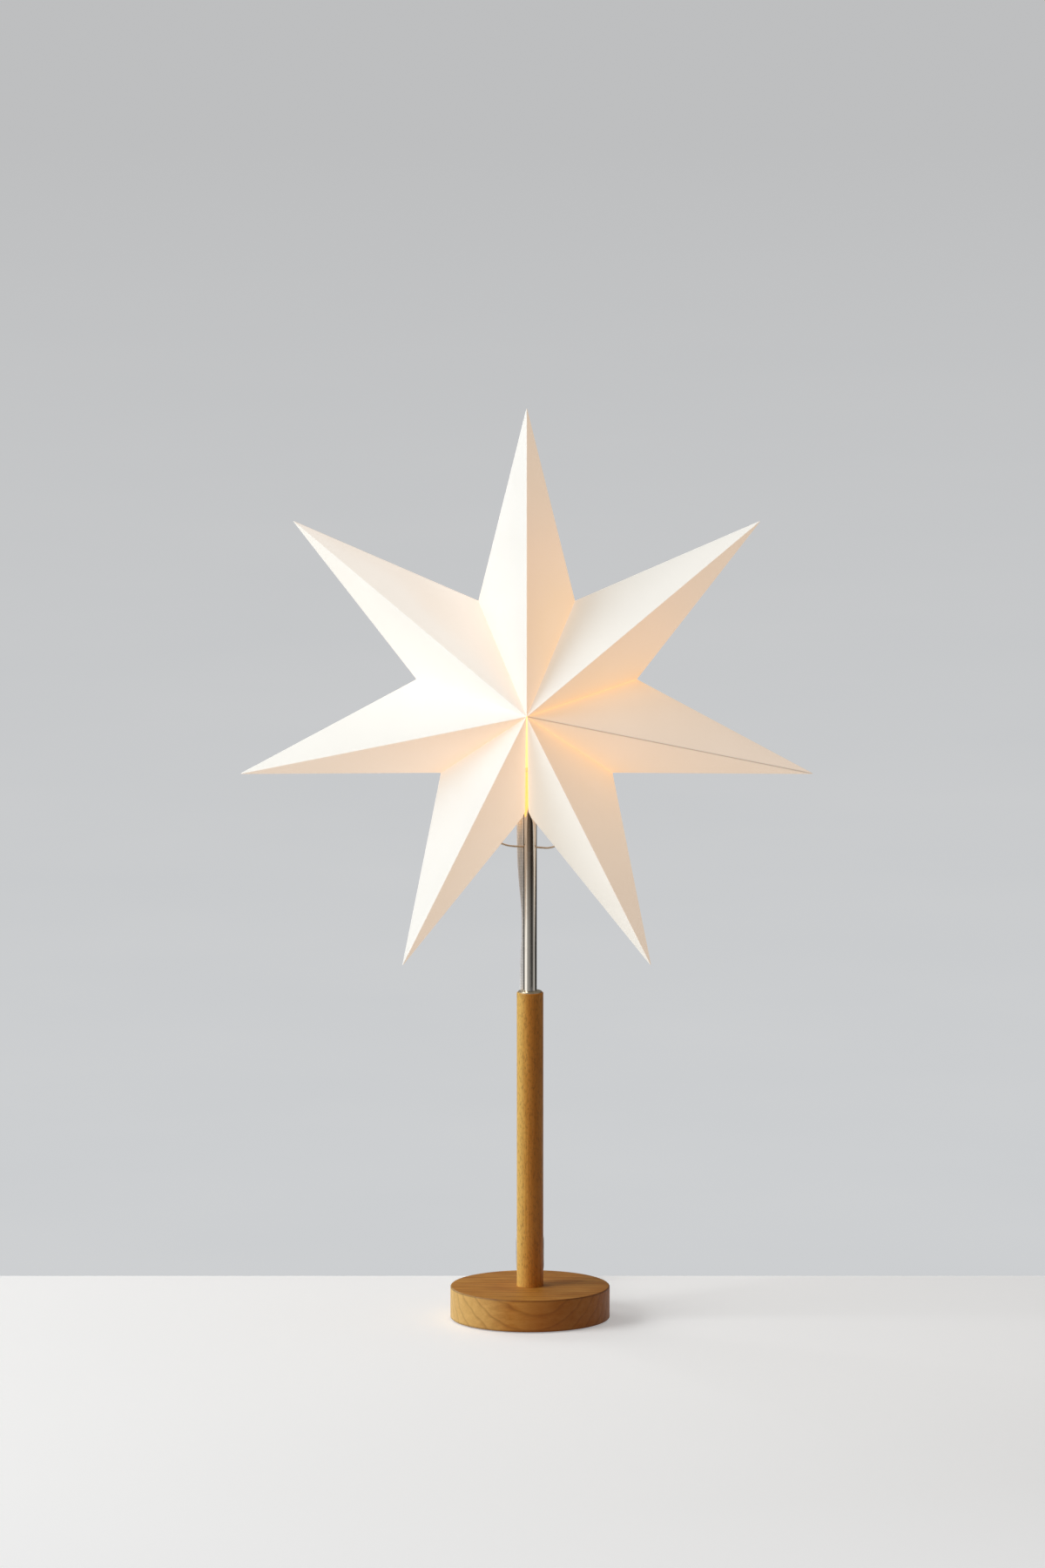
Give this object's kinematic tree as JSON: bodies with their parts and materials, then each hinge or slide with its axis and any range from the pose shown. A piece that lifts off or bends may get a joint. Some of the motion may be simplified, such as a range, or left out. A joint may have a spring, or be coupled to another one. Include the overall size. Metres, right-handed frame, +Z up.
{
  "type": "paper star table lamp",
  "caption": "Table lamp with a folded paper star shade round its bulb, on a thin metal rod, a wooden post and a round wooden foot, with a mains cord and plug.",
  "frame": {"origin": "centre of the felt pad's underside, on the axis of the foot, post and rod, at table height", "axes": "+Z up along the post and the rod; the star's face looks along -Y; +X is to the right seen from the front"},
  "size_m": [0.342, 0.2467, 0.5502],
  "materials": {
    "star_paper": "matt folded white paper",
    "tie_string": "thin twisted string",
    "foot_wood": "oiled, straight grain",
    "post_wood": "oiled, fine upright grain",
    "felt": "felt",
    "steel": "bright zinc",
    "ferrule_metal": "pale satin",
    "rod_nickel": "polished nickel",
    "holder_plastic": "moulded white",
    "holder_ceramic": "glazed ceramic",
    "contact_brass": "bright",
    "bulb_glass": "frosted",
    "grip_plastic": "moulded white",
    "cord_cover": "pale woven cover",
    "tie_plastic": "plain strap",
    "plug_plastic": "moulded white",
    "pin_brass": "bright"
  },
  "bodies": {
    "root": {"ray_lower_left": "star_paper", "ray_left": "star_paper", "ray_upper_left": "star_paper", "ray_top": "star_paper", "ray_upper_right": "star_paper", "ray_right": "star_paper", "ray_lower_right": "star_paper", "tie_string": "tie_string", "base_disc": "foot_wood", "felt_pad": "felt", "base_screw": "steel", "wooden_post": "post_wood", "post_ferrule": "ferrule_metal", "nickel_rod": "rod_nickel", "rod_collar": "steel", "rod_nut": "steel", "holder_cap": "holder_plastic", "holder_sleeve": "holder_plastic", "contact_block": "holder_ceramic", "thread_shell": "contact_brass", "centre_contact": "contact_brass", "terminal_screws": "steel", "light_bulb": "bulb_glass", "cord_grip": "grip_plastic", "mains_cord": "cord_cover", "cord_hank": "cord_cover", "hank_tie": "tie_plastic", "cord_tail": "cord_cover", "plug_body": "plug_plastic", "plug_pins": "pin_brass"}
  },
  "joints": []
}
